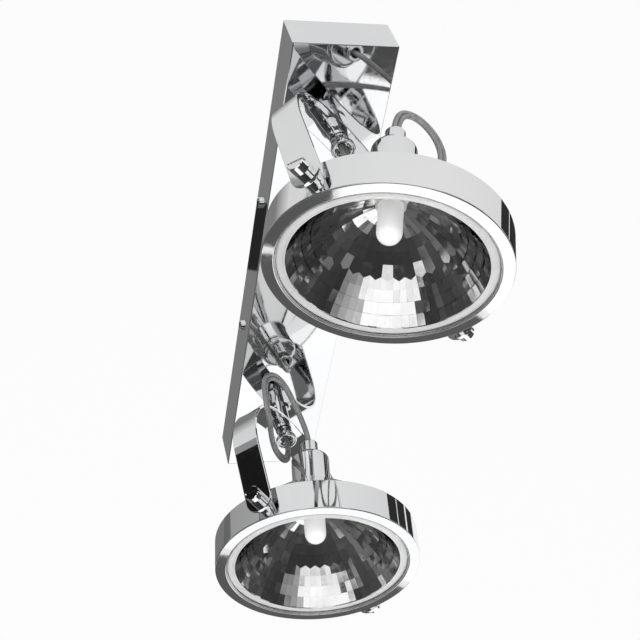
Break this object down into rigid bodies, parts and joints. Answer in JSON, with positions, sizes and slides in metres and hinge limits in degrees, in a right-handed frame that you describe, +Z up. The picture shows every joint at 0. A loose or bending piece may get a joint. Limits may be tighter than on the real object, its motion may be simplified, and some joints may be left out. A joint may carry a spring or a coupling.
{
  "type": "twin spotlight",
  "caption": "Chrome wall spotlight: a long box canopy carries lamp heads that tilt in bows which swivel on short stems, each with a bell-shaped cord outlet.",
  "frame": {"origin": "middle of the mounting face, on the wall plane, midway between the wall slots", "axes": "+Z up along the canopy, +Y into the wall, -Y out of the wall where the heads stand, +X to the right"},
  "size_m": [0.1265, 0.1816, 0.3562],
  "materials": {
    "chrome": "mirror chrome plate",
    "steel": "zinc-plated steel",
    "screw": "bright plated screw",
    "case": "moulded case",
    "terminal": "white nylon",
    "brass": "turned brass",
    "cord": "pair of grey insulated leads",
    "reflector": "bright faceted aluminium",
    "burner": "frosted glass",
    "ceramic": "white ceramic",
    "lead": "insulated lead"
  },
  "bodies": {
    "base": {"canopy": "chrome", "wall_bracket": "steel", "canopy_screws": "screw", "upper_transformer": "case", "lower_transformer": "case", "transformer_nuts": "steel", "terminal_block": "terminal", "terminal_clamps": "brass", "terminal_screws": "steel", "earth_screw": "brass", "earth_tag": "brass"},
    "upper_yoke": {"upper_swivel_stem": "chrome", "upper_stop_washer": "steel", "upper_stem_nut": "steel", "upper_bow": "chrome", "upper_bell": "chrome", "upper_cord": "cord"},
    "upper_head": {"upper_drum": "chrome", "upper_rear_housing": "chrome", "upper_rear_cap": "chrome", "upper_cap_gland": "chrome", "upper_gland_nut": "steel", "upper_lamp_reflector": "reflector", "upper_lamp_burner": "burner", "upper_lamp_base": "ceramic", "upper_lamp_lugs": "brass", "upper_lamp_leads": "lead", "upper_lamp_retainer": "steel", "upper_thumb_screws": "chrome", "upper_pivot_bushes": "chrome", "upper_tilt_nuts": "steel"},
    "lower_yoke": {"lower_swivel_stem": "chrome", "lower_stop_washer": "steel", "lower_stem_nut": "steel", "lower_bow": "chrome", "lower_bell": "chrome", "lower_cord": "cord"},
    "lower_head": {"lower_drum": "chrome", "lower_rear_housing": "chrome", "lower_rear_cap": "chrome", "lower_cap_gland": "chrome", "lower_gland_nut": "steel", "lower_lamp_reflector": "reflector", "lower_lamp_burner": "burner", "lower_lamp_base": "ceramic", "lower_lamp_lugs": "brass", "lower_lamp_leads": "lead", "lower_lamp_retainer": "steel", "lower_thumb_screws": "chrome", "lower_pivot_bushes": "chrome", "lower_tilt_nuts": "steel"}
  },
  "joints": [
    {"name": "upper_swivel", "type": "hinge", "parent": "base", "child": "upper_yoke", "pos_m": [0, -0.026, 0.115], "axis": [0, -1, 0], "range_deg": [-120, 208]},
    {"name": "upper_tilt", "type": "hinge", "parent": "upper_yoke", "child": "upper_head", "pos_m": [0, -0.15, 0.115], "axis": [0.7193, 0, -0.6947], "range_deg": [-111, 69], "deforming": ["upper_cord"]},
    {"name": "lower_swivel", "type": "hinge", "parent": "base", "child": "lower_yoke", "pos_m": [0, -0.026, -0.115], "axis": [0, -1, 0], "range_deg": [-113, 215]},
    {"name": "lower_tilt", "type": "hinge", "parent": "lower_yoke", "child": "lower_head", "pos_m": [0, -0.15, -0.115], "axis": [0.6293, 0, -0.7771], "range_deg": [-100, 80], "deforming": ["lower_cord"]}
  ]
}
